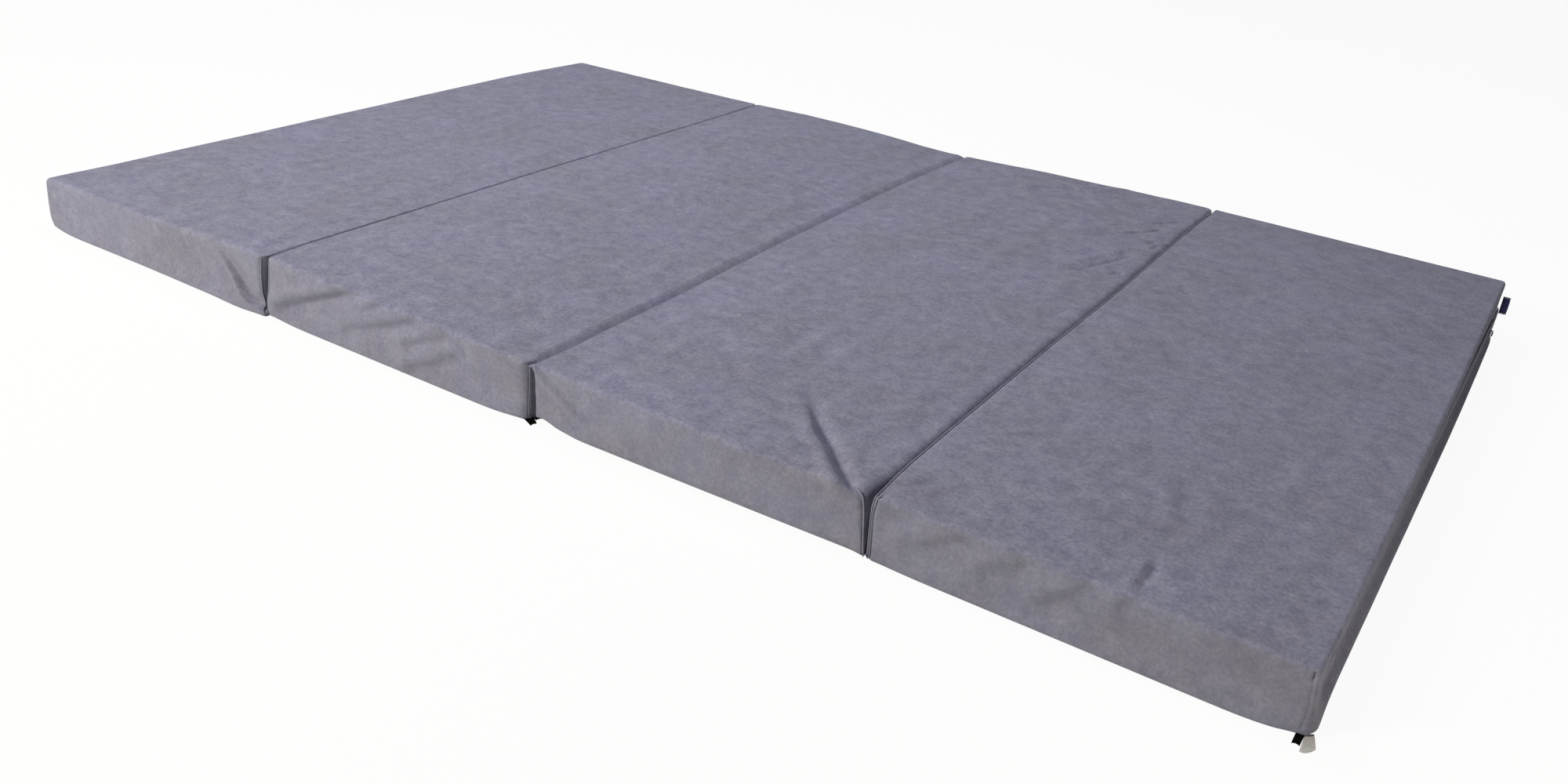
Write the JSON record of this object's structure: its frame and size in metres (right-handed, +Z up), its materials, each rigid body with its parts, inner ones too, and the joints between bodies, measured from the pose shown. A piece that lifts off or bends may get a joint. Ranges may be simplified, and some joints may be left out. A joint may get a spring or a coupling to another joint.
{
  "type": "folding mattress",
  "caption": "Flat folding mattress of equal foam panels in zipped velour covers, joined by fabric hinges so that it folds up like a concertina",
  "frame": {"origin": "Middle of the four covers' footprint, on the plane that the covers lie on", "axes": "X runs along the row of panels, from panel 1 to panel 4; Y runs along the panels, from the pictured front to the back; Z is up"},
  "size_m": [2.012, 1.3437, 0.0897],
  "materials": {
    "velour": "matte",
    "foam": "matte",
    "black_tape": "matte",
    "white_satin": "satin",
    "navy_label": "matte",
    "zip_cloth": "matte",
    "coil": "satin",
    "steel": "satin"
  },
  "bodies": {
    "panel_2": {"cover_2": "velour", "foam_core_2": "foam", "zip_tape_2": "zip_cloth", "zip_chain_2": "coil", "hinge_strip_1": "velour", "hinge_strip_2": "velour", "closure_tape_2_front": "black_tape", "closure_tape_2_back": "black_tape"},
    "panel_1": {"cover_1": "velour", "foam_core_1": "foam", "zip_tape_1": "zip_cloth", "zip_chain_1": "coil"},
    "panel_3": {"cover_3": "velour", "foam_core_3": "foam", "zip_tape_3": "zip_cloth", "zip_chain_3": "coil", "hinge_strip_3": "velour"},
    "panel_4": {"cover_4": "velour", "foam_core_4": "foam", "zip_tape_4": "zip_cloth", "zip_chain_4": "coil", "closure_tape_4_front": "black_tape", "closure_tape_4_back": "black_tape", "care_label": "white_satin", "side_label": "navy_label"},
    "slider_1": {"zip_slider_1": "steel"},
    "slider_2": {"zip_slider_2": "steel"},
    "slider_3": {"zip_slider_3": "steel"},
    "slider_4": {"zip_slider_4": "steel"},
    "pull_1": {"zip_pull_1": "steel"},
    "pull_2": {"zip_pull_2": "steel"},
    "pull_3": {"zip_pull_3": "steel"},
    "pull_4": {"zip_pull_4": "steel"}
  },
  "joints": [
    {"name": "fold_1", "type": "hinge", "parent": "panel_2", "child": "panel_1", "pos_m": [-0.503, 0, -0.0005], "axis": [0, -1, 0], "range_deg": [0, 180], "deforming": ["hinge_strip_1"]},
    {"name": "fold_2", "type": "hinge", "parent": "panel_2", "child": "panel_3", "pos_m": [0, 0, 0.0845], "axis": [0, -1, 0], "range_deg": [0, 175], "deforming": ["hinge_strip_2"]},
    {"name": "fold_3", "type": "hinge", "parent": "panel_3", "child": "panel_4", "pos_m": [0.503, 0, -0.0005], "axis": [0, 1, 0], "range_deg": [0, 180], "deforming": ["hinge_strip_3"]},
    {"name": "zip_slide_1", "type": "slide", "parent": "panel_1", "child": "slider_1", "axis": [0, 1, 0], "range_m": [0, 1.0904]},
    {"name": "zip_slide_2", "type": "slide", "parent": "panel_2", "child": "slider_2", "axis": [1, 0, 0], "range_m": [0, 0.2849]},
    {"name": "zip_slide_3", "type": "slide", "parent": "panel_3", "child": "slider_3", "axis": [1, 0, 0], "range_m": [0, 0.2849]},
    {"name": "zip_slide_4", "type": "slide", "parent": "panel_4", "child": "slider_4", "axis": [0, -1, 0], "range_m": [0, 1.0904]},
    {"name": "zip_pull_hinge_1", "type": "hinge", "parent": "slider_1", "child": "pull_1", "pos_m": [-1.00105, -0.5452, 0.042], "axis": [0, 0, 1], "range_deg": [0, 170]},
    {"name": "zip_pull_hinge_2", "type": "hinge", "parent": "slider_2", "child": "pull_2", "pos_m": [-0.3957, 0.65105, 0.042], "axis": [0, 0, 1], "range_deg": [0, 170]},
    {"name": "zip_pull_hinge_3", "type": "hinge", "parent": "slider_3", "child": "pull_3", "pos_m": [0.1108, 0.65105, 0.042], "axis": [0, 0, 1], "range_deg": [0, 170]},
    {"name": "zip_pull_hinge_4", "type": "hinge", "parent": "slider_4", "child": "pull_4", "pos_m": [1.00105, 0.5452, 0.042], "axis": [0, 0, 1], "range_deg": [0, 170]}
  ]
}
